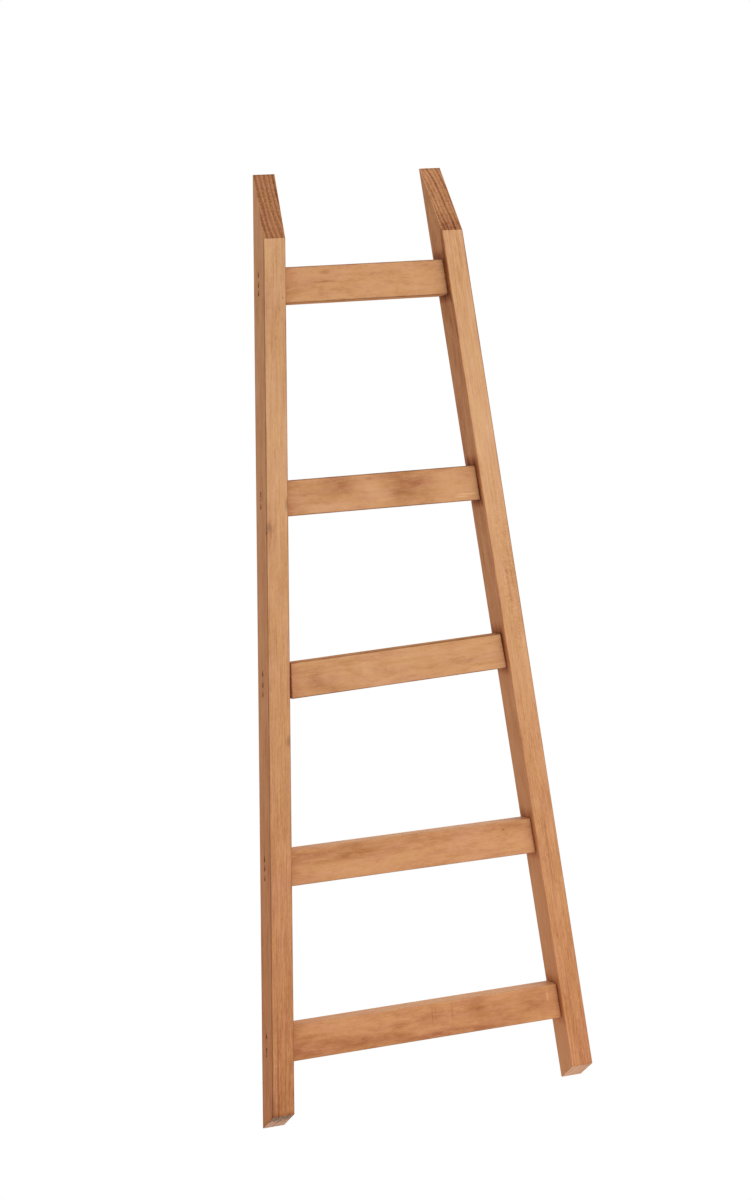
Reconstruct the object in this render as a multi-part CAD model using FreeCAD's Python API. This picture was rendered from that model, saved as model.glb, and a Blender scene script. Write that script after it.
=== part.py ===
import FreeCAD
import Part
import math
import os

# Blanket ladder: two stiles that come together towards the top, and five nailed rungs.
#
# Every piece is made in the plane of the ladder and leaned against the wall at the end.
# In that plane X runs across the ladder and Z up it from the floor. Y is the depth: 0 on
# the side that faces the room, and negative towards the wall. Lengths are in millimetres
# and angles in degrees. Left is -X.

# Stance
lean = 27.5             # from upright, with the feet flat on the floor
foot_width = 587.0      # outside of both stiles, at the floor
tip_width = 334.0       # outside of both stiles, at their tips

# Stiles
stile_length = 1604.5   # along the room side, from the floor to the sharp tip
stile_width = 38.0
stile_depth = 62.0
stile_round = 1.5       # rounding of every edge

# Rungs
rung_height = 60.0
rung_thickness = 38.0
rung_setback = 14.0     # from the stile's wall side back to the rung's face
rung_round = 2.0        # rounding of every edge

# Nails, three to a joint, with small heads driven below the surface
nail_length = 75.0
nail_diameter = 3.3
nail_head_diameter = 5.0
nail_head_length = 1.5
nail_neck_length = 2.0  # taper from the head to the shank
nail_point_length = 6.0
nail_sink = 1.5         # from the stile's surface down to the head

# Each rung: name, height of its middle up the ladder, tilt (right end up), length that it
# is cut short by at the left end, and heights of its nails from the middle of its end.
rungs = [
    ("bottom_rung", 147.0, 0.0, 0.0, (12.5, -6.5, -18.0)),
    ("lower_rung", 440.0, 0.0, 0.0, (16.0, 1.0, -16.0)),
    ("middle_rung", 758.0, 1.8, 5.0, (14.0, -5.0, -20.5)),
    ("upper_rung", 1056.0, 0.0, 0.0, (12.5, 0.5, -12.5)),
    ("top_rung", 1409.0, 0.0, 0.0, (19.0, 2.5, -11.5)),
]

# Worked out from the sizes above
taper = (foot_width - tip_width) / 2 / stile_length      # run inwards for each rise
slant = math.sqrt(1 + taper ** 2)
spare = 2 * stile_depth                                  # stock beyond the ends, sawn off
rung_face_y = rung_setback - stile_depth
nail_y = rung_face_y + rung_thickness / 2                # nails enter the rung's middle
lean_run = math.sin(math.radians(lean))
lean_rise = math.cos(math.radians(lean))
lean_slope = math.tan(math.radians(lean))

LEFT = -1
RIGHT = 1


def outer_x(z):
    """Distance from the ladder's middle to the outside of a stile, at height z."""
    return foot_width / 2 - z * taper


def inner_x(z):
    """Distance from the ladder's middle to the inside of a stile, at height z."""
    return outer_x(z) - stile_width * slant


def between_floor_and_wall():
    """Block that the sawn stiles fill: over the floor's plane and short of the wall's."""
    depths = (spare, -stile_depth - spare)
    floor = [FreeCAD.Vector(-foot_width, y, -y * lean_slope) for y in depths]
    wall = [FreeCAD.Vector(-foot_width, y, stile_length + y / lean_slope) for y in depths]
    outline = Part.makePolygon([floor[0], wall[0], wall[1], floor[1], floor[0]])
    return Part.Face(outline).extrude(FreeCAD.Vector(2 * foot_width, 0, 0))


def stile():
    """Right stile: a length of wood, tapered inwards and sawn flat to floor and wall."""
    corner = FreeCAD.Vector(-stile_width, -stile_depth, -spare)
    stock = Part.makeBox(stile_width, stile_depth, stile_length + 2 * spare, corner)
    stock.rotate(FreeCAD.Vector(), FreeCAD.Vector(0, -1, 0), math.degrees(math.atan(taper)))
    stock.translate(FreeCAD.Vector(foot_width / 2, 0, 0))
    sawn = stock.common(between_floor_and_wall()).Solids[0]
    return sawn.makeFillet(stile_round, sawn.Edges)


def rung_reach(height, tilt, side):
    """Half length of a rung, along its own middle, that just touches the stile on a side.

    The corner that touches is rounded, so its centre is what has to fit.
    """
    angle = math.radians(tilt) * side
    centre = (rung_height / 2 - rung_round) * side
    inset = rung_round * slant
    room = inner_x(height) - inset + centre * (taper * math.cos(angle) - math.sin(angle))
    return room / (math.cos(angle) + taper * math.sin(angle)) - centre * taper + inset


def rung(height, tilt, short):
    """Flat rung with ends that follow the stiles, turned about its middle by the tilt."""
    half = rung_height / 2
    right = rung_reach(height, tilt, RIGHT)
    left = rung_reach(height, tilt, LEFT) - short
    corners = []
    for side, reach, level in ((LEFT, left, -half), (RIGHT, right, -half),
                               (RIGHT, right, half), (LEFT, left, half)):
        corners.append(FreeCAD.Vector(side * (reach - level * taper), rung_face_y, level))
    face = Part.Face(Part.makePolygon(corners + corners[:1]))
    bar = face.extrude(FreeCAD.Vector(0, rung_thickness, 0))
    bar = bar.makeFillet(rung_round, bar.Edges)
    bar.rotate(FreeCAD.Vector(), FreeCAD.Vector(0, -1, 0), tilt)
    bar.translate(FreeCAD.Vector(0, 0, height))
    return bar


def nail_heights(height, tilt, offsets, side):
    """Heights of one joint's nails, which follow the middle of the rung's end."""
    end = height + side * inner_x(height) * math.tan(math.radians(tilt))
    return [end + offset for offset in offsets]


def nail(side, height):
    """Nail driven straight across the ladder from the outside of a stile."""
    inwards = FreeCAD.Vector(-side, 0, 0)
    start = FreeCAD.Vector(side * (outer_x(height) - nail_sink), nail_y, height)
    neck_at = start + inwards * nail_head_length
    shank_at = neck_at + inwards * nail_neck_length
    point_at = start + inwards * (nail_length - nail_point_length)
    head_radius = nail_head_diameter / 2
    radius = nail_diameter / 2
    head = Part.makeCylinder(head_radius, nail_head_length, start, inwards)
    neck = Part.makeCone(head_radius, radius, nail_neck_length, neck_at, inwards)
    shank = Part.makeCylinder(radius, (point_at - shank_at).Length, shank_at, inwards)
    point = Part.makeCone(radius, 0, nail_point_length, point_at, inwards)
    return head.fuse([neck, shank, point]).removeSplitter().Solids[0]


def nail_recess(side, height):
    """Open hole that is left over a nail's head."""
    outside = FreeCAD.Vector(side * (outer_x(height) + nail_sink), nail_y, height)
    return Part.makeCylinder(nail_head_diameter / 2, 2 * nail_sink, outside,
                             FreeCAD.Vector(-side, 0, 0))


def lean_on_wall(shape):
    """Lean a piece on the wall, with the origin at the floor in the middle of the stance."""
    leaned = shape.copy()
    leaned.rotate(FreeCAD.Vector(), FreeCAD.Vector(1, 0, 0), lean)
    leaned.translate(FreeCAD.Vector(0, stile_length * lean_run / 2, 0))
    return leaned


def save(name, shape):
    lean_on_wall(shape).exportStep(os.path.join("parts", name + ".step"))


def main():
    os.makedirs("parts", exist_ok=True)
    right_stile = stile()
    stiles = {
        LEFT: right_stile.mirror(FreeCAD.Vector(), FreeCAD.Vector(1, 0, 0)),
        RIGHT: right_stile,
    }
    side_names = {LEFT: "left", RIGHT: "right"}

    for name, height, tilt, short, offsets in rungs:
        bar = rung(height, tilt, short)
        for side in (LEFT, RIGHT):
            heights = nail_heights(height, tilt, offsets, side)
            nails = [nail(side, z) for z in heights]
            recesses = [nail_recess(side, z) for z in heights]
            bar = bar.cut(nails)
            stiles[side] = stiles[side].cut(nails + recesses)
            save(name + "_" + side_names[side] + "_nails", Part.makeCompound(nails))
        save(name, bar.Solids[0])

    for side in (LEFT, RIGHT):
        save(side_names[side] + "_stile", stiles[side].Solids[0])


main()
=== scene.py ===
from functools import reduce
from math import asin, radians, tan

import bpy
from bpy.props import FloatProperty, FloatVectorProperty, PointerProperty
from bpy.types import Operator, Panel, PropertyGroup
from mathutils import Matrix, Vector


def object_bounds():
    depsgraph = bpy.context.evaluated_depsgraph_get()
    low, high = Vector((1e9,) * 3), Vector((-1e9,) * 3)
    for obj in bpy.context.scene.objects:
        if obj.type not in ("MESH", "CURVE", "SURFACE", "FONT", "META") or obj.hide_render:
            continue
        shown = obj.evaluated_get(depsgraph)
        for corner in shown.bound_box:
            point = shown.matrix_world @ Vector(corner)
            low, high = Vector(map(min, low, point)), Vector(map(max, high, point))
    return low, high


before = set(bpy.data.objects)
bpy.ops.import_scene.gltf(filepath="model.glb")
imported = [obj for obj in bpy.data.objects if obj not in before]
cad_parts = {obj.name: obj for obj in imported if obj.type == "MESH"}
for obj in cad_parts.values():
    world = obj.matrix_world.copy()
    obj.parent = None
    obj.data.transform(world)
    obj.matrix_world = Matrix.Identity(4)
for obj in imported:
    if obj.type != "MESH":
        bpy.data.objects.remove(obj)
cad_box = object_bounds()

bl_info = {
    "name": "Blanket Ladder",
    "version": (1, 0, 0),
    "blender": (4, 5, 0),
    "location": "View3D > Sidebar > Blanket Ladder",
    "description": "Finishes the wood and nails of a leaning blanket ladder and sets its stage",
    "category": "Object",
}

# Places and sizes on a board are in millimetres, along, across and through it, from its
# middle. Those of the scene are in metres. Left and right are as seen from the wall's side.
MILLIMETRE = 0.001

RUNGS = ("bottom", "lower", "middle", "upper", "top")
SIDES = ("left", "right")

# How much stain the wood has taken up where it has each of its colours. A tone is an amount
# that is added to this, so more of it is darker.
PALE_AT = 0.0
HONEY_AT = 0.36
AMBER_AT = 0.66
UMBER_AT = 1.0

# How far a surface faces along the grain where it begins to be a cut, and where it wholly
# is one. The long bevels face it by 0.46 and the feet by 0.88.
CUT_FACING = (0.36, 0.44)
SQUARE_CUT_FACING = (0.50, 0.62)

# Where things fade out, in millimetres: all there at the first distance, gone at the second
EDGE_FADE = (0.2, 2.4)              # from a long edge
CHIP_FADE = (0.9, 2.2)              # from the left edge of a bevel
FLOOR_DIRT_FADE = (1.0, 7.0)        # above the floor
FOOT_DIRT_FADE = (14.0, 44.0)       # from the wall's side of a foot
NAIL_STAIN_AND_SHADE_FADE = (3.0, 5.6)        # from the place that a nail is taken to be, for the stain and painted shade round it
JOINT_SHADE_FADE = (3.0, 16.0)      # from a rung, for the soft painted shade on the stile
JOINT_CORNER_FADE = (0.4, 3.6)      # from a rung, for the dark line of painted shade on the stile
RUNG_CORNER_FADE = (0.4, 2.8)       # from a rung's end, for the dark line of painted shade on the rung
RUNG_SHADE_FADE = (0.0, 34.0)       # from a rung's left end, for the shade on the rung

# Other sizes on the boards, in millimetres
TIP_HEIGHT = 3.5                    # the darker part at the top of a tip
MARK_DEPTH = 11.0                   # how far a mark reaches into the board
SCUFF_DEPTH = 8.0                   # and a scuff
NAIL_GAP = 3.0                      # a gap along the stile that tells two nails apart
LOW_TINT_FROM = 1200.0              # height above the floor where the low tint's painted shade begins
LOW_TINT_FULL = 100.0               # and where it is complete

# Limits
MOST_SIDE_RISE = 0.27               # the most that the painted shade of the side slope adds to the tone
CRISP = 0.5                         # marks that are less soft than this have a rim
RIM_TONE = 0.4                      # how dark that rim is, before the mark's own tone

# The Mix node's sockets for colours, which share their names with others
MIX_FACTOR, MIX_FIRST, MIX_SECOND, MIX_RESULT = 0, 6, 7, 2

WHITE = (1.0, 1.0, 1.0, 1.0)

# What a board's finish is made of, and how it is on a plain board
PLAIN_STYLE = {
    "tone": 0.0,            # tone of the whole board
    "slope": 0.0,           # how much the tone rises in each millimetre along the board, painted shade for light that falls off along it
    "side_shade_slope": 0.0,      # how much more it rises on the narrow sides, painted light and shade along them
    "side_shade_and_sheen": 0.0,       # tone of the narrow sides: painted shade above 0, painted sheen below 0
    "side_tint": 1.0,       # how much of the side tint the narrow sides have
    "warmth": 0.0,          # how much of the low tint's painted shade the board has at any height
    "grime": 0.0,           # how dirty the foot is
    "fibres": 1.0,          # strength of the fine fibres and flecks
    "lines": 0.0,           # strength of the fine lines
    "mottle": 0.0,          # strength of the small soft blotches
    "streaks": 1.0,         # strength of the long streaks
    "flames": 1.0,          # strength of the broad flames
    "bevel": 0.0,           # tone of the long bevel
    "chipped_edge": 0.0,    # how much paler the bevel is along its chipped left edge
    "dull_sides": 0.0,      # how much of the satin the narrow sides lack
    "dark_edge": 0,         # side whose long edges get painted shade: 1 right, -1 left or 0 both
    "clean_edge": False,    # whether a rung's upper edge on the wall's side has no painted shade
    "marks": (),            # smudges: middle, half sizes, tone and softness
    "scuffs": (),           # greyish rubs: middle, half sizes and strength
    "curls": (),            # patches of curly figure: middle and half sizes
}

# How each rung was cut from its log, and its finish. The pith passes at a place across and
# through the rung, and its distance grows by a share of the way along. Marks are along and
# across the side that faces the wall, where across is downwards.
# The side tones paint shade on the narrow sides of the upper three rungs and sheen on those of the
# lower two
RUNG_STYLES = {
    "top": {
        "pith": (-60, 95, 0.03), "ring_width": 8.0, "side_shade_and_sheen": 0.12, "dull_sides": 1.0,
        "marks": (
            (-71, -19, 10, 4, 0.12, 0.6), (-74, -3, 24, 2, 0.10, 0.6),
            (-80, 13, 4, 8, 0.08, 0.7), (30, 12, 40, 7, -0.07, 0.8),
            (20, -12, 45, 4, 0.06, 0.7), (112, 0, 34, 26, -0.03, 0.3))},
    "upper": {
        "pith": (40, 110, 0.02), "ring_width": 9.0, "side_shade_and_sheen": 0.12, "dull_sides": 1.0,
        "marks": (
            (-78, -14, 27, 17, 0.18, 0.8), (48, -9, 44, 22, 0.18, 0.9),
            (32, 15, 18, 14, 0.08, 0.8), (-22, -22, 6, 2.5, 0.14, 0.6),
            (-100, 21, 55, 6, -0.10, 0.7), (-8, 4, 22, 20, -0.10, 0.9),
            (118, -9, 32, 12, -0.07, 0.8), (150, 18, 16, 1.6, -0.30, 0.5),
            (141, 22, 12, 1.2, -0.26, 0.5))},
    "middle": {
        "pith": (20, 130, -0.02), "ring_width": 9.0, "tone": -0.04, "side_shade_and_sheen": 0.15,
        "dull_sides": 1.0,
        "marks": (
            (-150, 7, 14, 15, 0.17, 0.8), (-128, 18, 16, 9, 0.10, 0.8),
            (-80, -17, 24, 4, 0.09, 0.7), (82, 8, 60, 7, 0.09, 0.8),
            (160, 17, 28, 2.5, 0.12, 0.6), (-58, -2, 10, 12, -0.09, 0.8),
            (140, 24, 14, 4, -0.12, 0.7), (130, -8, 34, 9, -0.06, 0.8))},
    "lower": {
        "pith": (-30, 140, 0.03), "ring_width": 12.0, "tone": -0.01, "side_shade_and_sheen": -0.10,
        "clean_edge": True,
        "marks": (
            (-150, -17, 90, 15, 0.11, 0.3), (-75, -9, 58, 9, 0.09, 0.3),
            (75, -24, 140, 9, 0.10, 0.6), (166, -17, 2.0, 1.2, 0.22, 0.6),
            (-60, 16, 110, 10, -0.05, 0.8), (155, 8, 45, 12, -0.06, 0.8))},
    "bottom": {
        "pith": (30, 120, -0.03), "ring_width": 12.0, "tone": 0.05, "side_shade_and_sheen": -0.19,
        "clean_edge": True,
        "marks": (
            (-198, 19, 62, 18, 0.10, 0.2), (-88, 20, 60, 14, 0.10, 0.2),
            (-205, -7, 24, 4, 0.10, 0.6), (-52, -1, 16, 6, 0.14, 0.6),
            (45, 26, 80, 8, 0.18, 0.4), (92, -12, 15, 14, 0.15, 0.8),
            (196, -6, 22, 16, 0.12, 0.8), (222, -13, 1.6, 8, -0.24, 0.7),
            (9, -11, 1.6, 15, 0.10, 0.8), (15, -12, 1.6, 13, 0.08, 0.8),
            (45, -10, 1.6, 14, 0.10, 0.8), (-140, -12, 70, 12, -0.06, 0.9))},
}

# The same for the stiles, where along is up and across is to the right
STILE_STYLES = {
    "left": {
        "seed": 3.0, "pith": (185, 46, 0.012), "ring_width": 8.0, "slope": -0.0001,
        "side_shade_slope": 0.00006, "lines": 0.56, "flames": 0.55, "mottle": 0.06, "grime": 1.0,
        "marks": (
            (208, -15, 9, 8, 0.08, 0.6), (252, 17, 8, 4, 0.12, 0.6),
            (-146, 14, 9, 5, 0.10, 0.6), (-660, -9, 150, 2.2, 0.12, 0.5),
            # The two wide marks by the foot are painted shade, where the light falls off towards
            # the lower left
            (-720, 0, 230, 50, 0.09, 0.9), (-785, 0, 62, 40, 0.07, 0.7),
            (330, 0, 90, 40, -0.05, 0.9), (550, 0, 110, 60, 0.06, 0.8),
            (-270, 0, 80, 60, 0.03, 0.8)),
        "scuffs": ((208, -14, 10, 6, 0.25), (246, 17, 9, 3, 0.35), (-146, 15, 8, 3, 0.30)),
        "knots": (((590, 13.5, -31), 1.8), ((200, -19, -31), 1.8))},
    "right": {
        "seed": 41.0, "pith": (-205, -52, -0.010), "ring_width": 7.0, "uneven": 0.9,
        "tone": -0.035, "slope": -0.0002, "side_shade_slope": 0.0005, "lines": 0.64, "flames": 0.7,
        "mottle": 0.10, "grime": 0.15, "dark_edge": 1, "bevel": 0.04, "chipped_edge": 0.3,
        "marks": (
            (690, 0, 170, 60, 0.15, 0.9), (120, 0, 50, 60, 0.05, 0.8),
            (340, 0, 80, 60, -0.06, 0.8), (-90, 0, 70, 60, -0.06, 0.8)),
        "curls": (((95, 5, -31), (150, 13, 14)),)},
}

# The lamps: name, place, diameter and power in watts
LAMPS = (
    ("wall_side_lamp", (1.3, -2.2, 1.9), 1.6, 20.8),
    ("low_lamp", (0.9, -1.7, -2.0), 1.8, 39.5),
    ("room_side_lamp", (1.6, 3.0, 2.4), 1.8, 42.0),
)


# ---------------------------------------------------------------------------
# Shader nodes
# ---------------------------------------------------------------------------

class Signal:
    """A value on its way between shader nodes. Arithmetic on it adds Math nodes."""

    def __init__(self, graph, socket):
        self.graph = graph
        self.socket = socket

    def math(self, operation, *values):
        inputs = dict(enumerate(values))
        return self.graph.node("ShaderNodeMath", {"operation": operation}, inputs)

    def __add__(self, other):
        return self.math("ADD", self, other)

    def __sub__(self, other):
        return self.math("SUBTRACT", self, other)

    def __rsub__(self, other):
        return self.math("SUBTRACT", other, self)

    def __mul__(self, other):
        return self.math("MULTIPLY", self, other)

    def __truediv__(self, other):
        return self.math("DIVIDE", self, other)

    def __pow__(self, other):
        return self.math("POWER", self, other)

    __radd__ = __add__
    __rmul__ = __mul__

    def __abs__(self):
        return self.math("ABSOLUTE", self)

    def fraction(self):
        return self.math("FRACT", self)

    def floor(self):
        return self.math("FLOOR", self)

    def at_least(self, other):
        return self.math("MAXIMUM", self, other)

    def at_most(self, other):
        return self.math("MINIMUM", self, other)

    def rise(self, low, high):
        """0 below low, 1 above high, and a smooth rise between them."""
        settings = {"interpolation_type": "SMOOTHSTEP"}
        return self.graph.node("ShaderNodeMapRange", settings, {0: self, 1: low, 2: high})

    def fall(self, low, high):
        """1 below low, 0 above high, and a smooth fall between them."""
        return 1 - self.rise(low, high)


class Graph:
    """The node tree of one material or world."""

    def __init__(self, owner):
        owner.use_nodes = True
        self.tree = owner.node_tree
        self.tree.nodes.clear()

    def node(self, kind, settings=None, inputs=None, output=0):
        """Add a node, with its settings first and then the values or links of its sockets."""
        made = self.tree.nodes.new(kind)
        place = len(self.tree.nodes)
        made.location = (220 * (place % 12), -260 * (place // 12))
        for name, value in (settings or {}).items():
            if name == "stops":
                self.set_stops(made.color_ramp, value)
            else:
                setattr(made, name, value)
        for name, value in (inputs or {}).items():
            if isinstance(value, Signal):
                self.tree.links.new(value.socket, made.inputs[name])
            else:
                made.inputs[name].default_value = value
        return Signal(self, made.outputs[output]) if made.outputs else made

    def set_stops(self, ramp, stops):
        while len(ramp.elements) < len(stops):
            ramp.elements.new(1.0)
        for element, (position, colour) in zip(ramp.elements, stops):
            element.position = position
            element.color = (*colour, 1.0)

    def vector(self, operation, first, second, output="Vector"):
        settings = {"operation": operation}
        return self.node("ShaderNodeVectorMath", settings, {0: first, 1: second}, output)

    def length(self, vector):
        return self.node("ShaderNodeVectorMath", {"operation": "LENGTH"}, {0: vector}, "Value")

    def combine(self, x, y=0.0, z=0.0):
        return self.node("ShaderNodeCombineXYZ", None, {0: x, 1: y, 2: z})

    def split(self, vector):
        """The three parts of a vector."""
        return [self.node("ShaderNodeSeparateXYZ", None, {0: vector}, part) for part in "XYZ"]

    def object_place(self):
        """Place in the object's own space, which for the ladder's pieces is the scene's."""
        return self.node("ShaderNodeTexCoord", output="Object")

    def noise(self, place, stretch, detail=2.0, roughness=0.5, seed=0.0):
        """Noise from 0 to 1 whose lumps have the sizes in stretch, along each direction."""
        scale = tuple(1 / size for size in stretch)
        scaled = self.vector("MULTIPLY", place, scale)
        inputs = {
            "Vector": scaled, "W": seed, "Scale": 1.0, "Detail": detail, "Roughness": roughness}
        return self.node("ShaderNodeTexNoise", {"noise_dimensions": "4D"}, inputs)

    def blend(self, factor, first, second):
        """Colour between two colours."""
        inputs = {MIX_FACTOR: factor, MIX_FIRST: first, MIX_SECOND: second}
        return self.node("ShaderNodeMix", {"data_type": "RGBA"}, inputs, MIX_RESULT)

    def tint(self, factor, colour, shade):
        """Colour multiplied by a shade, as far as the factor says."""
        settings = {"data_type": "RGBA", "blend_type": "MULTIPLY"}
        inputs = {MIX_FACTOR: factor, MIX_FIRST: colour, MIX_SECOND: opaque(shade)}
        return self.node("ShaderNodeMix", settings, inputs, MIX_RESULT)


def linear(colour):
    """Scene colour of a colour given as it looks on a screen."""
    return tuple(c / 12.92 if c <= 0.04045 else ((c + 0.055) / 1.055) ** 2.4 for c in colour)


def opaque(colour):
    return (*colour, 1.0)


def new_material(name):
    material = bpy.data.materials.new(name)
    return material, Graph(material)


def dress(thing, material):
    """Give an object one material all over."""
    thing.data.materials.clear()
    thing.data.materials.append(material)


# ---------------------------------------------------------------------------
# Settings
# ---------------------------------------------------------------------------

class LADDER_PG_wood(PropertyGroup):
    """Honey stained pine."""

    pale: FloatVectorProperty(
        name="Pale wood", description="Colour of the palest stained wood",
        subtype="COLOR_GAMMA", min=0.0, max=1.0, default=(0.87, 0.70, 0.52))
    honey: FloatVectorProperty(
        name="Honey stain", description="Colour of most of the surface",
        subtype="COLOR_GAMMA", min=0.0, max=1.0, default=(0.795, 0.603, 0.421))
    amber: FloatVectorProperty(
        name="Amber stain", description="Colour where the wood drinks more stain",
        subtype="COLOR_GAMMA", min=0.0, max=1.0, default=(0.66, 0.45, 0.28))
    umber: FloatVectorProperty(
        name="Umber stain", description="Colour of the darkest knots and pooled stain",
        subtype="COLOR_GAMMA", min=0.0, max=1.0, default=(0.38, 0.19, 0.10))
    cut_end: FloatVectorProperty(
        name="Cut end", description="Colour of the wood that is sawn square across the grain",
        subtype="COLOR_GAMMA", min=0.0, max=1.0, default=(0.93, 0.74, 0.63))
    # The grime's colour also paints the shade on the dark edges
    grime: FloatVectorProperty(
        name="Grime", description="Colour of the dirt on the feet, the dark edges and the scuffs",
        subtype="COLOR_GAMMA", min=0.0, max=1.0, default=(0.42, 0.36, 0.32))
    # The low tint is painted shade, darker and warmer towards the feet
    low_shade_tint: FloatVectorProperty(
        name="Low tint", description="Tint that the finish takes on towards the feet",
        subtype="COLOR_GAMMA", min=0.0, max=1.0, default=(0.985, 0.915, 0.865))
    side_tint: FloatVectorProperty(
        name="Side tint", description="Tint of the stiles' narrow sides",
        subtype="COLOR_GAMMA", min=0.0, max=1.0, default=(1.0, 0.945, 0.925))
    ring_contrast: FloatProperty(
        name="Ring contrast", description="How much darker the late wood of a growth ring is",
        min=0.0, max=1.0, default=0.06)
    cut_ring_contrast: FloatProperty(
        name="Ring contrast on cuts", description="How much darker still it is on a cut end",
        min=0.0, max=1.0, default=0.24)
    fibre_contrast: FloatProperty(
        name="Fibre contrast", description="How strongly the fine fibres show",
        min=0.0, max=1.0, default=0.40)
    streak_contrast: FloatProperty(
        name="Streak contrast", description="How strongly the streaks and flames of the grain show",
        min=0.0, max=1.0, default=0.36)
    blotch_contrast: FloatProperty(
        name="Blotch contrast", description="How unevenly the stain has been taken up",
        min=0.0, max=1.0, default=0.34)
    pore_tone: FloatProperty(
        name="Pores", description="How much darker the pores are",
        min=0.0, max=1.0, default=0.10)
    knot_tone: FloatProperty(
        name="Knots", description="How much darker the knots are",
        min=0.0, max=1.0, default=0.4)
    narrow_tone: FloatProperty(
        name="Narrow sides", description="How much darker the narrow sides of a board are",
        min=-1.0, max=1.0, default=-0.065)
    # These three paint shade along the rounded long edges
    edge_shade_tone: FloatProperty(
        name="Edges", description="How much darker the long edges of a board are",
        min=0.0, max=1.0, default=0.08)
    dark_edge_shade_tone: FloatProperty(
        name="Dark edges", description="How much darker still the dark ones of these edges are",
        min=0.0, max=1.0, default=0.17)
    edge_shade_grey: FloatProperty(
        name="Edge dirt", description="How much grime sticks to the dark edges",
        min=0.0, max=1.0, default=0.45)
    cut_tone: FloatProperty(
        name="Cut ends", description="How much more stain a cut end takes up",
        min=0.0, max=1.0, default=0.30)
    square_cut_tone: FloatProperty(
        name="Square cuts", description="How much less of that a square cut takes up",
        min=0.0, max=1.0, default=0.26)
    floor_dirt: FloatProperty(
        name="Floor dirt", description="How dark the sides of a dirty foot are at the floor",
        min=0.0, max=1.0, default=0.14)
    # How much darker the top of each tip is
    tip_darkening: FloatProperty(
        name="Tip wear", description="How dark the sharp tips have become against the wall",
        min=0.0, max=1.0, default=0.35)
    # Strength of the stain and painted shade round the nails, and of the painted shade in the
    # joints and at the rung ends
    pooled_stain_and_shade: FloatProperty(
        name="Pooled stain", description="How dark the stain is by the nails and in the joints",
        min=0.0, max=1.0, default=0.40)
    roughness: FloatProperty(
        name="Roughness", description="Roughness of the side grain under its satin finish",
        subtype="FACTOR", min=0.0, max=1.0, default=0.52)
    satin: FloatProperty(
        name="Satin", description="Strength of the satin finish",
        subtype="FACTOR", min=0.0, max=1.0, default=0.12)
    satin_roughness: FloatProperty(
        name="Satin roughness", description="Roughness of the satin finish",
        subtype="FACTOR", min=0.0, max=1.0, default=0.45)
    relief: FloatProperty(
        name="Relief", description="Height of the raised grain",
        subtype="DISTANCE", unit="LENGTH", min=0.0, max=0.001, default=0.00005)


class LADDER_PG_nails(PropertyGroup):
    """Sunk steel nails."""

    steel: FloatVectorProperty(
        name="Nail steel", description="Colour of the nail heads",
        subtype="COLOR_GAMMA", min=0.0, max=1.0, default=(0.30, 0.19, 0.13))
    rust: FloatVectorProperty(
        name="Rust", description="How much brighter red, green and blue are where it has rusted",
        min=0.0, max=4.0, default=(1.9, 1.2, 0.9))
    spot_size: FloatProperty(
        name="Rust spots", description="Size of the spots of rust",
        subtype="DISTANCE", unit="LENGTH", min=0.0001, max=0.01, default=0.0009)
    metal: FloatProperty(
        name="Bare metal", description="How metallic the heads look through their stain",
        subtype="FACTOR", min=0.0, max=1.0, default=0.4)
    roughness: FloatProperty(
        name="Nail roughness", description="Roughness of the nail heads",
        subtype="FACTOR", min=0.0, max=1.0, default=0.55)


class LADDER_PG_stage(PropertyGroup):
    """Camera, lamps and backdrop."""

    camera_place: FloatVectorProperty(
        name="Camera place", description="Where the camera stands",
        subtype="TRANSLATION", unit="LENGTH", default=(-1.2847, -3.4777, -0.8154))
    camera_turn: FloatVectorProperty(
        name="Camera turn", description="How the camera is turned",
        subtype="EULER", default=(radians(114.016), radians(12.860), radians(-14.575)))
    lens: FloatProperty(
        name="Lens", description="Focal length of the camera's lens",
        subtype="DISTANCE_CAMERA", default=70.23)
    frame_height: FloatProperty(
        name="Frame height", description="Height of the camera's frame",
        subtype="DISTANCE_CAMERA", default=36.0)
    floor_size: FloatProperty(
        name="Floor size", description="Length of the floor's sides",
        subtype="DISTANCE", unit="LENGTH", default=16.0)
    floor_drop: FloatProperty(
        name="Floor drop", description="Gap that keeps the floor's face off the feet",
        subtype="DISTANCE", unit="LENGTH", default=MILLIMETRE / 2)
    floor_grey: FloatProperty(
        name="Floor grey", description="Brightness of the floor",
        subtype="FACTOR", min=0.0, max=1.0, default=0.86)
    fade_from: FloatProperty(
        name="Fade from", description="How far out the floor begins to fade into the backdrop",
        subtype="DISTANCE", unit="LENGTH", default=1.6)
    fade_to: FloatProperty(
        name="Fade to", description="How far out the floor is as white as the backdrop",
        subtype="DISTANCE", unit="LENGTH", default=3.6)
    sky: FloatProperty(
        name="Sky", description="Strength of the even light from all round",
        min=0.0, max=2.0, default=0.64)


# ---------------------------------------------------------------------------
# Boards
# ---------------------------------------------------------------------------

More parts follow.
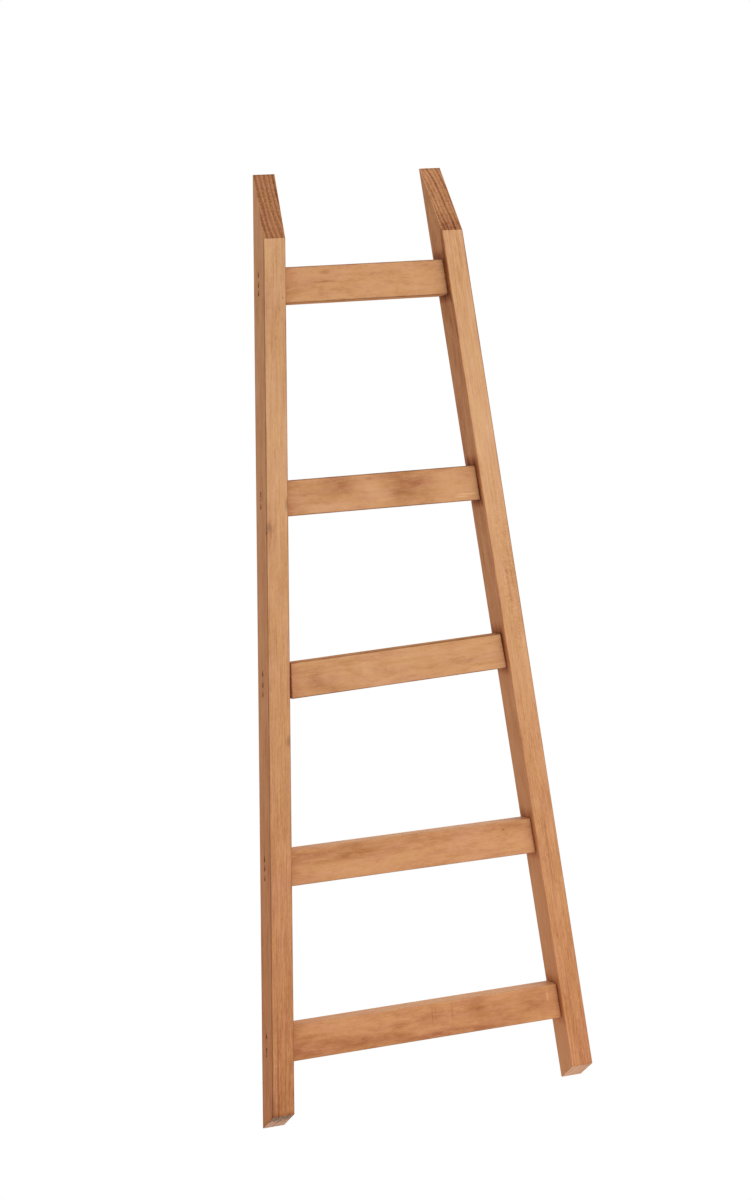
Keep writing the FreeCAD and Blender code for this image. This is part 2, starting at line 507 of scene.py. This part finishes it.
class Board:
    """A straight length of wood: its middle, its directions and its half sizes.

    The directions are along the grain, across the board, and through it towards the room.
    """

    def __init__(self, node, towards):
        self.node = node
        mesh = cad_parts[node].data

        # Its two largest sides that are square to each other give its directions
        facets = sorted(mesh.polygons, key=lambda facet: facet.area, reverse=True)
        first = facets[0].normal
        second = next(facet.normal for facet in facets if abs(facet.normal.dot(first)) < 0.1)
        through = max(first, second, key=lambda normal: abs(normal.y)).copy()
        across = min(first, second, key=lambda normal: abs(normal.y)).copy()
        if through.y < 0:
            through.negate()
        along = across.cross(through).normalized()
        if along.dot(towards) < 0:
            along.negate()
        across = through.cross(along)
        self.turn = Matrix((along, across, through))
        low, high = self.span(mesh)
        self.middle = self.turn.transposed() @ ((low + high) / 2)
        self.half = (high - low) / 2 / MILLIMETRE

    def span(self, mesh):
        """Lowest and highest place of a mesh in the board's directions."""
        points = [self.turn @ vertex.co for vertex in mesh.vertices]
        low = Vector([min(point[i] for point in points) for i in range(3)])
        high = Vector([max(point[i] for point in points) for i in range(3)])
        return low, high

    def place(self, point):
        """Place on the board of a point of the scene, in millimetres from the board's middle."""
        return self.turn @ (point - self.middle) / MILLIMETRE


def nail_places(board, side):
    """How far along a stile its nails are, told apart by the gaps between their points.

    A nail lies askew of the stile, so its middle is a little above its head, and two nails
    that overlap along the stile, or nearly so, count as one.
    """
    places = []
    for name in RUNGS:
        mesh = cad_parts[f"{name}_rung_{side}_nails"].data
        heights = sorted(board.place(vertex.co).x for vertex in mesh.vertices)
        start = heights[0]
        for height, following in zip(heights, heights[1:] + [None]):
            if following is None or following - height > NAIL_GAP:
                places.append((start + height) / 2)
                start = following
    return places


def board_place(graph, board):
    """Place on a board in millimetres from its middle: along, across and through it."""
    inputs = {
        "Vector": graph.object_place(),
        "Location": -(board.turn @ board.middle) / MILLIMETRE,
        "Rotation": board.turn.to_euler(),
        "Scale": (1 / MILLIMETRE,) * 3,
    }
    return graph.node("ShaderNodeMapping", {"vector_type": "POINT"}, inputs)


def nearest(distances):
    """The smallest of several distances."""
    return reduce(lambda one, other: one.at_most(other), distances)


class Grain:
    """The grain of a board, cut from a log whose pith passes at a place beside it.

    Its noises run from -0.5 to 0.5. Those on the flow part round the knots with the fibres.
    The late wood, the pores and the knots run from 0 to 1.
    """

    WANDER = 18.0           # how far the grain strays over a long stretch
    RIPPLE = 3.0            # and over a short one
    KNOT_LENGTH = 1 / 0.45  # a knot's length and depth, as shares of its size
    KNOT_DEPTH = 1 / 0.5
    KNOT_BEND = 1.8         # how far it pushes the fibres aside, as a share of its size
    FAINTEST_RING = 0.4     # strength of the faintest growth ring

    def __init__(self, graph, board, seed, pith, ring_width, uneven, figure, knots):
        self.graph = graph
        self.board = board
        self.seed = seed
        self.place = board_place(graph, board)
        self.along, self.across, self.through = graph.split(self.place)

        wander = self.noise(0, self.place, (420, 55, 55), 1.5, 0.5)
        self.ripple = self.noise(1, self.place, (60, 14, 14), 2.0, 0.55)
        bend = (wander * self.WANDER + self.ripple * self.RIPPLE) * figure
        self.knot = None
        for centre, size in knots:
            reach = (size * self.KNOT_LENGTH, size, size * self.KNOT_DEPTH)
            near = self.distance(centre, reach)
            bend = bend + near.fall(0.2, 3.2) * size * self.KNOT_BEND
            core = (near + self.ripple * 0.6).fall(0.35, 0.8)
            self.knot = core if self.knot is None else self.knot.at_least(core)
        self.late = self.late_wood(bend, pith, ring_width, uneven)

        flow = graph.combine(self.along, self.across + bend, self.through + bend)
        self.fibre = self.noise(3, flow, (34, 0.7, 0.7), 3.0, 0.65)
        self.line = self.noise(14, flow, (80, 1.5, 1.5), 2.0, 0.6)
        self.streak = self.noise(4, flow, (150, 2.4, 2.4), 4.0, 0.65)
        self.flame = self.noise(8, flow, (42, 8, 8), 4.0, 0.6)
        self.fleck = self.noise(9, flow, (8, 1.8, 1.8), 2.0, 0.6)
        self.pore = self.noise(5, flow, (5.5, 0.45, 0.45), 1.0, 0.5).rise(0.20, 0.30)
        self.mottle = self.noise(13, flow, (20, 9, 9), 4.0, 0.62)
        self.cloud = self.noise(6, self.place, (75, 26, 26), 4.0, 0.6)
        self.warm = self.noise(7, flow, (70, 16, 16), 3.0, 0.55)

    def noise(self, number, place, stretch, detail, roughness):
        """One of the board's noises, by its number, with the size of its lumps."""
        return self.graph.noise(place, stretch, detail, roughness, self.seed + number) - 0.5

    def distance(self, centre, size):
        """Distance from a place on the board, as a share of a size in each direction."""
        offset = self.graph.vector("SUBTRACT", self.place, centre)
        scaled = self.graph.vector("MULTIPLY", offset, tuple(1 / s for s in size))
        return self.graph.length(scaled)

    def late_wood(self, bend, pith, ring_width, uneven):
        """1 in the dark late wood of the growth rings, some of which are fainter."""
        to_pith = ((self.across - pith[0]) ** 2.0 + (self.through - pith[1]) ** 2.0) ** 0.5
        radius = to_pith + bend + self.along * pith[2]
        drift = self.noise(2, self.graph.combine(radius), (14, 14, 14), 2.0, 0.5)
        phase = radius / ring_width + drift * uneven
        ring = phase.fraction()
        chance = self.graph.node("ShaderNodeTexWhiteNoise", {"noise_dimensions": "1D"},
                                 {"W": phase.floor() + self.seed})
        strength = chance * (1 - self.FAINTEST_RING) + self.FAINTEST_RING
        return ring.rise(0.1, 0.6) * ring.fall(0.72, 1.0) * strength

    def smudge(self, ragged, centre, size, edge):
        """1 inside a ragged ellipsoid and 0 outside it. A small edge makes its outline sharp."""
        return (self.distance(centre, size) + ragged).fall(1 - edge, 1 + edge)

    def wall_side(self, along, across):
        """Place on the side that faces the wall."""
        return along, across, -self.board.half.z


class Sides:
    """Which part of a board's surface a point is on, each from 0 to 1, and its height.

    The height is in millimetres above the floor.
    """

    def __init__(self, grain, dark_edge, clean_edge):
        graph, half = grain.graph, grain.board.half
        normal = graph.node("ShaderNodeNewGeometry", output="Normal")
        lengthwise = tuple(grain.board.turn[0])
        facing = abs(graph.vector("DOT_PRODUCT", normal, lengthwise, "Value"))
        self.cut = facing.rise(*CUT_FACING)
        self.square_cut = facing.rise(*SQUARE_CUT_FACING)
        self.bevel = self.cut - self.square_cut
        self.narrow = (abs(grain.across) - half.y + 2.5).rise(0.0, 2.0) * (1 - self.cut)
        to_edge = (half.y - abs(grain.across)).at_least(half.z - abs(grain.through))
        self.edge = (to_edge + grain.fleck * 2.0).fall(*EDGE_FADE)
        # The long edges that get painted shade: all, those of one side, and not the upper one on
        # the wall's side of a clean-edged rung
        self.dark_edge = self.edge
        if dark_edge:
            self.dark_edge = self.edge * (grain.across * dark_edge).rise(0.0, 1.0)
        if clean_edge:
            upper = grain.across.fall(-1.0, 1.0)
            wall_side = grain.through.fall(-1.0, 1.0)
            self.dark_edge = self.dark_edge * (1 - upper * wall_side)
        self.height = graph.split(graph.object_place())[2] / MILLIMETRE


# ---------------------------------------------------------------------------
# Pine
# ---------------------------------------------------------------------------

def marks_on(grain, marks):
    """How much darker the smudges make the side that faces the wall.

    A crisp one is darker still along its rim, where its stain has dried.
    """
    rough = grain.mottle * 1.2 + grain.flame + grain.ripple * 0.8 + grain.fleck * 0.4
    uneven = grain.mottle * 1.4 + grain.flame + 1
    total = 0.0
    for along, across, half_length, half_width, tone, softness in marks:
        blot = grain.smudge(rough * (softness * 1.2 + 0.15), grain.wall_side(along, across),
                            (half_length, half_width, MARK_DEPTH), softness)
        rim = blot * (1 - blot) * (RIM_TONE if softness < CRISP else 0.0)
        total = total + (blot * uneven + rim) * tone
    return total


def curls_on(grain, curls):
    """How much darker and paler the patches of curly figure make the board."""
    total = 0.0
    for centre, size in curls:
        slanted = grain.graph.combine(grain.along + grain.across * 0.6, grain.across, grain.through)
        curl = grain.noise(10, slanted, (2.8, 6, 6), 2.0, 0.6)
        total = total + grain.smudge(grain.mottle, centre, size, 0.6) * curl * 0.7
    return total


def take_up(grain, sides, wood, style):
    """How much stain the wood has taken up, with painted shade and sheen, apart from the stain and
    painted shade by the nails and in the joints.
    """
    figure = grain.streak * style["streaks"] + grain.flame * style["flames"]
    # The slope along the board paints shade where the light falls off towards its foot
    tone = (HONEY_AT + style["tone"] + grain.along * style["slope"]
            + grain.late * (wood.ring_contrast + sides.cut * wood.cut_ring_contrast)
            + (grain.fibre + grain.fleck) * style["fibres"] * wood.fibre_contrast
            + grain.line * style["lines"] + grain.mottle * style["mottle"]
            + figure * (sides.narrow * 1.2 + 1 - sides.cut * 0.4) * wood.streak_contrast
            + grain.pore * wood.pore_tone
            + grain.cloud * (sides.narrow * 0.5 + 1 - sides.cut * 0.5) * wood.blotch_contrast)

    # Narrow sides, with their painted shade and sheen, painted shade along the edges, and cut ends
    side_rise = (grain.along * style["side_shade_slope"]).at_most(MOST_SIDE_RISE)
    tone = (tone + sides.narrow * (side_rise + style["side_shade_and_sheen"] + wood.narrow_tone)
            + sides.edge * wood.edge_shade_tone + sides.dark_edge * wood.dark_edge_shade_tone
            + sides.cut * wood.cut_tone - sides.square_cut * wood.square_cut_tone)

    # Dirt at the floor, and a darker band at the top of the tips
    on_floor = (sides.height + grain.fleck * 8).fall(*FLOOR_DIRT_FADE) * (1 - sides.cut)
    on_tip = (sides.height - cad_box[1].z / MILLIMETRE + TIP_HEIGHT).rise(0.0, 3.0)
    tone = tone + on_floor * style["grime"] * wood.floor_dirt + on_tip * wood.tip_darkening

    # Marks of the saw across the bevels, and their chipped edge
    chatter = grain.noise(15, grain.place, (4.5, 40, 40), 1.0, 0.5)
    chipped = (grain.across + grain.board.half.y + grain.fleck * 2.0).fall(*CHIP_FADE)
    tone = tone + sides.bevel * (
        style["bevel"] + chatter * 0.16 - chipped * style["chipped_edge"])

    tone = tone + marks_on(grain, style["marks"]) + curls_on(grain, style["curls"])
    if grain.knot is not None:
        tone = tone + grain.knot * wood.knot_tone
    return tone


def stained(grain, sides, wood, style, tone):
    """Colour of the stained wood, and of the bare feet under their dirt."""
    graph = grain.graph
    stops = [(PALE_AT, linear(wood.pale)), (HONEY_AT, linear(wood.honey)),
             (AMBER_AT, linear(wood.amber)), (UMBER_AT, linear(wood.umber))]
    colour = graph.node("ShaderNodeValToRGB", {"stops": stops}, {0: tone})

    # Rosier in places and on the cuts, and tinted on the narrow sides, with painted shade towards
    # the feet
    rosy = graph.node("ShaderNodeHueSaturation", None, {
        "Hue": 0.49, "Saturation": 0.96, "Color": colour})
    colour = graph.blend(grain.warm.rise(-0.15, 0.2) * 0.8 + sides.cut * 0.3, colour, rosy)
    colour = graph.tint(sides.narrow * style["side_tint"], colour, linear(wood.side_tint))
    # Painted shade that grows towards the feet
    low = (LOW_TINT_FROM - sides.height) / (LOW_TINT_FROM - LOW_TINT_FULL)
    low = low.at_least(0.0) ** 1.3
    colour = graph.tint(low.at_least(style["warmth"]).at_most(1.0), colour, linear(wood.low_shade_tint))

    # Painted shade in the grime's colour on the dark edges, and dirt in the scuffs
    grime = opaque(linear(wood.grime))
    colour = graph.blend(sides.dark_edge * wood.edge_shade_grey, colour, grime)
    for along, across, half_length, half_width, strength in style["scuffs"]:
        scuff = grain.smudge(grain.mottle + grain.flame, grain.wall_side(along, across),
                             (half_length, half_width, SCUFF_DEPTH), 0.7)
        colour = graph.blend(scuff * strength, colour, grime)
    return graph.blend(sides.square_cut, colour, bare_end(grain, wood, style, tone, grime))


def bare_end(grain, wood, style, tone, grime):
    """Colour of a square cut end, dirty towards the wall's side and in slanting scores."""
    graph = grain.graph
    bare = graph.blend(
        tone.rise(0.3, 1.0), opaque(linear(wood.cut_end)), opaque(linear(wood.amber)))
    turned = graph.node("ShaderNodeMapping", {"vector_type": "POINT"}, {
        "Vector": grain.place, "Rotation": (radians(45), 0.0, 0.0)})
    scores = grain.noise(11, turned, (6, 1.3, 12), 2.0, 0.6).rise(-0.12, 0.12)
    dirty = (grain.through + grain.board.half.z + grain.mottle * 50).fall(*FOOT_DIRT_FADE)
    return graph.blend((dirty * (scores * 0.5 + 0.2) + 0.27) * style["grime"], bare, grime)


def pine(board, wood, stain_and_shade, seed, pith, ring_width, uneven=1.4, figure=1.0, knots=(), **changes):
    """Stained pine for one board, with the changes to the plain style that make it its own.

    Stain and shade gives the stain and painted shade by its nails, joints and rung ends.
    Seed sets its noises apart from the other boards'. Pith and ring width are of the log that
    it was cut from, uneven is how much its rings differ in width, figure is how much its grain
    strays, and knots are places and sizes.
    """
    material, graph = new_material(board.node + "_pine")
    grain = Grain(graph, board, seed, pith, ring_width, uneven, figure, knots)
    style = {**PLAIN_STYLE, **changes}
    sides = Sides(grain, style["dark_edge"], style["clean_edge"])
    # The stain and painted shade by the nails, in the joints and at the rung ends add to the tone
    tone = take_up(grain, sides, wood, style) + stain_and_shade(grain) * wood.pooled_stain_and_shade
    colour = stained(grain, sides, wood, style, tone)

    # Raised grain, and the ridges of the saw across the cut ends
    saw = grain.noise(12, grain.place, (0.9, 30, 30), 1.0, 0.5)
    raised = ((grain.fibre * 0.9 + grain.late * 0.35 + grain.streak * 0.5 - grain.pore * 0.7)
              * (1 - sides.cut * 0.4) + saw * sides.cut * 0.8)
    bump = graph.node("ShaderNodeBump", None, {
        "Strength": 1.0, "Distance": wood.relief, "Height": raised})
    shader = graph.node("ShaderNodeBsdfPrincipled", None, {
        "Base Color": colour,
        "Roughness": wood.roughness + grain.fibre * 0.16 + sides.cut * 0.16,
        "Normal": bump,
        "Coat Weight": (1 - sides.narrow * style["dull_sides"]) * (1 - sides.cut) * wood.satin,
        "Coat Roughness": wood.satin_roughness,
        "Specular IOR Level": 0.0,
    })
    graph.node("ShaderNodeOutputMaterial", None, {0: shader})
    return material


# ---------------------------------------------------------------------------
# Pieces
# ---------------------------------------------------------------------------

def stile_stain_and_shade(stile, rungs, side):
    """Stain and painted shade by a stile's sunk nails, and painted shade in its joints with the
    rungs.
    """
    inwards = -1 if side == "right" else 1
    nails = nail_places(stile, side)
    depth = stile.place(rungs[0].middle).z
    half_height, half_thickness = rungs[0].half.y, rungs[0].half.z
    joints = [stile.place(rung.middle - rung.turn[0] * rung.half.x * MILLIMETRE * inwards).x
              for rung in rungs]
    at_side = (stile.half.y - 3, stile.half.y - 1)

    def amount(grain):
        ragged = grain.ripple + grain.fibre
        outside = (grain.across * -inwards).rise(*at_side)
        inside = (grain.across * inwards).rise(*at_side)
        beside = nearest([abs(grain.along - nail) for nail in nails])
        to_nail = ((beside * 0.8) ** 2.0 + (grain.through - depth) ** 2.0) ** 0.5
        # Stain round the nail holes, with painted shade in their recesses
        at_nails = (to_nail + ragged * 2.5).fall(*NAIL_STAIN_AND_SHADE_FADE)

        # The painted shade reaches further over a rung than under it
        over = [(grain.along - joint - half_height) * 0.7 for joint in joints]
        under = [joint - half_height - grain.along for joint in joints]
        to_rungs = nearest([up.at_least(down) for up, down in zip(over, under)])
        to_joint = to_rungs.at_least(abs(grain.through - depth) - half_thickness)
        # Painted shade in the joints, and a darker line of painted shade in their corners
        joint_shade = (to_joint + ragged * 3).fall(*JOINT_SHADE_FADE) * 0.8
        joint_corner_shade = (to_joint + ragged).fall(*JOINT_CORNER_FADE) * 0.3
        return outside * at_nails * 0.85 + inside * (joint_shade + joint_corner_shade)

    return amount


def rung_end_shade(rung, taper):
    """Painted shade at the ends of a rung, which slope with the stiles.

    It is a thin dark line in both corners, darker at the right, and a wide shade at the left.
    """

    def amount(grain):
        ragged = grain.ripple + grain.fibre
        to_end = (grain.across - rung.half.y) * taper + rung.half.x - abs(grain.along)
        # A thin line of painted shade in each corner, and a wide painted shade at the left end
        corner = (to_end + ragged * 0.6).fall(*RUNG_CORNER_FADE)
        shade = (grain.along + rung.half.x + ragged * 10).fall(*RUNG_SHADE_FADE)
        at_right = grain.along.rise(-1.0, 1.0)
        return corner * (at_right * 0.35 + 0.25) + shade * 0.22

    return amount


class LADDER_OT_finish_stiles(Operator):
    """Stain both stiles and show their straight grain"""

    bl_idname = "ladder.finish_stiles"
    bl_label = "Finish the stiles"

    def execute(self, context):
        wood = context.scene.blanket_ladder_wood
        rungs = [Board(name + "_rung", Vector((1, 0, 0))) for name in RUNGS]
        for side in SIDES:
            stile = Board(side + "_stile", Vector((0, 0, 1)))
            stain_and_shade = stile_stain_and_shade(stile, rungs, side)
            dress(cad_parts[stile.node], pine(stile, wood, stain_and_shade, **STILE_STYLES[side]))
        return {"FINISHED"}


class LADDER_OT_finish_rungs(Operator):
    """Stain each rung, with its own figure and smudges"""

    bl_idname = "ladder.finish_rungs"
    bl_label = "Finish the rungs"

    def execute(self, context):
        wood = context.scene.blanket_ladder_wood
        stile = Board("left_stile", Vector((0, 0, 1)))
        taper = tan(asin(stile.turn[0].x))
        for number, name in enumerate(RUNGS):
            rung = Board(name + "_rung", Vector((1, 0, 0)))
            dress(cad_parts[rung.node], pine(
                rung, wood, rung_end_shade(rung, taper), seed=100.0 + 17 * number, uneven=3.0,
                figure=1.6, warmth=0.38, fibres=0.7, mottle=0.30, streaks=0.4, side_tint=0.0,
                **RUNG_STYLES[name]))
        return {"FINISHED"}


class LADDER_OT_finish_nails(Operator):
    """Darken the sunk nails"""

    bl_idname = "ladder.finish_nails"
    bl_label = "Finish the nails"

    def execute(self, context):
        nails = context.scene.blanket_ladder_nails
        material, graph = new_material("dull_nail_steel")
        spots = graph.noise(graph.object_place(), (nails.spot_size,) * 3, 3.0, 0.6)
        steel = linear(nails.steel)
        rusty = tuple(c * more for c, more in zip(steel, nails.rust))
        shader = graph.node("ShaderNodeBsdfPrincipled", None, {
            "Base Color": graph.blend(spots.rise(0.45, 0.65), opaque(steel), opaque(rusty)),
            "Metallic": nails.metal,
            "Roughness": nails.roughness + spots * 0.2,
        })
        graph.node("ShaderNodeOutputMaterial", None, {0: shader})
        for name in RUNGS:
            for side in SIDES:
                dress(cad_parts[f"{name}_rung_{side}_nails"], material)
        return {"FINISHED"}


# ---------------------------------------------------------------------------
# Stage
# ---------------------------------------------------------------------------

def shown(graph):
    """1 for the rays that show the backdrop: straight, mirrored or through glass."""
    kinds = ("Is Camera Ray", "Is Glossy Ray", "Is Transmission Ray")
    rays = [graph.node("ShaderNodeLightPath", output=kind) for kind in kinds]
    return sum(rays).at_most(1.0)


def floor_material(stage):
    """Pale floor that fades into the backdrop, and that can't be seen from underneath."""
    material, graph = new_material("pale_floor")
    away = graph.length(graph.object_place())
    seen = shown(graph)
    underneath = graph.node("ShaderNodeNewGeometry", output="Backfacing")
    grey = opaque((stage.floor_grey,) * 3)
    lit = graph.node("ShaderNodeBsdfDiffuse", None, {"Color": grey})
    white = graph.node("ShaderNodeEmission", None, {"Color": WHITE, "Strength": 1.0})
    clear = graph.node("ShaderNodeBsdfTransparent")
    fade = away.rise(stage.fade_from, stage.fade_to) * seen
    faded = graph.node("ShaderNodeMixShader", None, {0: fade, 1: lit, 2: white})
    top_only = graph.node("ShaderNodeMixShader", None, {0: underneath * seen, 1: faded, 2: clear})
    graph.node("ShaderNodeOutputMaterial", None, {0: top_only})
    return material


def lay_floor(stage):
    bpy.ops.object.select_all(action="DESELECT")
    bpy.ops.mesh.primitive_plane_add(size=stage.floor_size, location=(0, 0, -stage.floor_drop))
    floor = bpy.context.object
    floor.name = "pale_floor"
    floor.visible_diffuse = False
    floor.visible_shadow = False
    dress(floor, floor_material(stage))


def surround(scene, stage):
    """Even light from all round, in front of a white backdrop."""
    world = bpy.data.worlds.new("pale_surround")
    scene.world = world
    graph = Graph(world)
    even = graph.node("ShaderNodeBackground", None, {"Color": WHITE, "Strength": stage.sky})
    white = graph.node("ShaderNodeBackground", None, {"Color": WHITE, "Strength": 1.0})
    mixed = graph.node("ShaderNodeMixShader", None, {0: shown(graph), 1: even, 2: white})
    graph.node("ShaderNodeOutputWorld", None, {0: mixed})


def hang_lamp(scene, name, place, target, size, power):
    lamp = bpy.data.objects.new(name, bpy.data.lights.new(name, "AREA"))
    lamp.data.shape = "DISK"
    lamp.data.size = size
    lamp.data.energy = power
    lamp.location = place
    lamp.rotation_euler = (Vector(target) - Vector(place)).to_track_quat("-Z", "Y").to_euler()
    scene.collection.objects.link(lamp)


def place_camera(scene, stage):
    camera = bpy.data.objects.new("camera", bpy.data.cameras.new("camera"))
    camera.location = stage.camera_place
    camera.rotation_euler = stage.camera_turn
    camera.data.lens = stage.lens
    camera.data.sensor_width = stage.frame_height
    scene.collection.objects.link(camera)
    scene.camera = camera


class LADDER_OT_set_stage(Operator):
    """Lay the pale floor, hang the lamps and place the camera"""

    bl_idname = "ladder.set_stage"
    bl_label = "Set the stage"

    def execute(self, context):
        scene = context.scene
        stage = scene.blanket_ladder_stage
        lay_floor(stage)
        surround(scene, stage)
        middle = (cad_box[0] + cad_box[1]) / 2
        for name, place, size, power in LAMPS:
            hang_lamp(scene, name, place, middle, size, power)
        place_camera(scene, stage)
        scene.view_settings.view_transform = "Standard"
        return {"FINISHED"}


class LADDER_PT_panel(Panel):
    """Lists the steps that finish the ladder and set its stage"""

    bl_idname = "LADDER_PT_panel"
    bl_label = "Blanket Ladder"
    bl_space_type = "VIEW_3D"
    bl_region_type = "UI"
    bl_category = "Blanket Ladder"

    def draw(self, context):
        for step in STEPS:
            self.layout.operator(step.bl_idname)


STEPS = (
    LADDER_OT_finish_stiles,
    LADDER_OT_finish_rungs,
    LADDER_OT_finish_nails,
    LADDER_OT_set_stage,
)
CLASSES = (LADDER_PG_wood, LADDER_PG_nails, LADDER_PG_stage, *STEPS, LADDER_PT_panel)


def register():
    for group in CLASSES:
        bpy.utils.register_class(group)
    bpy.types.Scene.blanket_ladder_wood = PointerProperty(type=LADDER_PG_wood)
    bpy.types.Scene.blanket_ladder_nails = PointerProperty(type=LADDER_PG_nails)
    bpy.types.Scene.blanket_ladder_stage = PointerProperty(type=LADDER_PG_stage)


def unregister():
    del bpy.types.Scene.blanket_ladder_stage
    del bpy.types.Scene.blanket_ladder_nails
    del bpy.types.Scene.blanket_ladder_wood
    for group in reversed(CLASSES):
        bpy.utils.unregister_class(group)


def main():
    register()
    bpy.ops.ladder.finish_stiles()
    bpy.ops.ladder.finish_rungs()
    bpy.ops.ladder.finish_nails()
    bpy.ops.ladder.set_stage()


if __name__ == "__main__":
    main()
